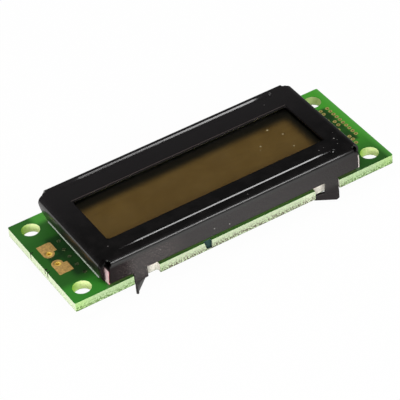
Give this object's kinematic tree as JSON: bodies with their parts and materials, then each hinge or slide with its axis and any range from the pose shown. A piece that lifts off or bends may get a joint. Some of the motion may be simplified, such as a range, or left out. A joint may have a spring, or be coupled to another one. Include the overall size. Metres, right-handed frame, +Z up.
{
  "type": "character_lcd_module",
  "caption": "Narrow reflective character LCD module: green board with corner holes, black stamped bezel with two sunken grooves and twisted lock tabs, brown display window",
  "frame": {"origin": "centre of the corner hole pattern, on the top face of the circuit board", "axes": "+X along the board towards the end with the row of ten rings, +Y across the board away from the front edge with the small recess, +Z up out of the display window"},
  "size_m": [0.056, 0.0218, 0.0081],
  "materials": {
    "masked_laminate": "green solder mask over glass-epoxy laminate, pale routed edges",
    "black_sheet": "glossy black coated sheet steel",
    "cell_glass": "polished float glass",
    "seal_glue": "cured epoxy seal",
    "polariser_film": "clear glossy polarising film",
    "reflector_film": "brown looking polariser with a satin reflector behind it",
    "pink_elastomer": "matte silicone rubber",
    "white_plastic": "moulded white plastic",
    "gold_plating": "gold plated copper",
    "green_mask": "solder mask over plated holes",
    "black_epoxy": "cured black epoxy",
    "resistor_ceramic": "black coated chip",
    "capacitor_ceramic": "tan ceramic chip",
    "solder": "reflowed solder"
  },
  "bodies": {
    "root": {"circuit_board": "masked_laminate", "bezel": "black_sheet", "front_glass": "cell_glass", "rear_glass": "cell_glass", "cell_seal": "seal_glue", "fill_plug": "seal_glue", "front_polariser": "polariser_film", "rear_polariser": "reflector_film", "front_strip": "pink_elastomer", "rear_strip": "pink_elastomer", "spacer_frame": "white_plastic", "led_pad_rear": "gold_plating", "led_pad_front": "gold_plating", "outer_rings": "gold_plating", "inner_rings": "gold_plating", "tented_vias": "green_mask", "front_fingers": "gold_plating", "rear_fingers": "gold_plating", "controller_cap": "black_epoxy", "driver_cap": "black_epoxy", "chip_resistors": "resistor_ceramic", "chip_capacitors": "capacitor_ceramic", "solder_joints": "solder"}
  },
  "joints": []
}
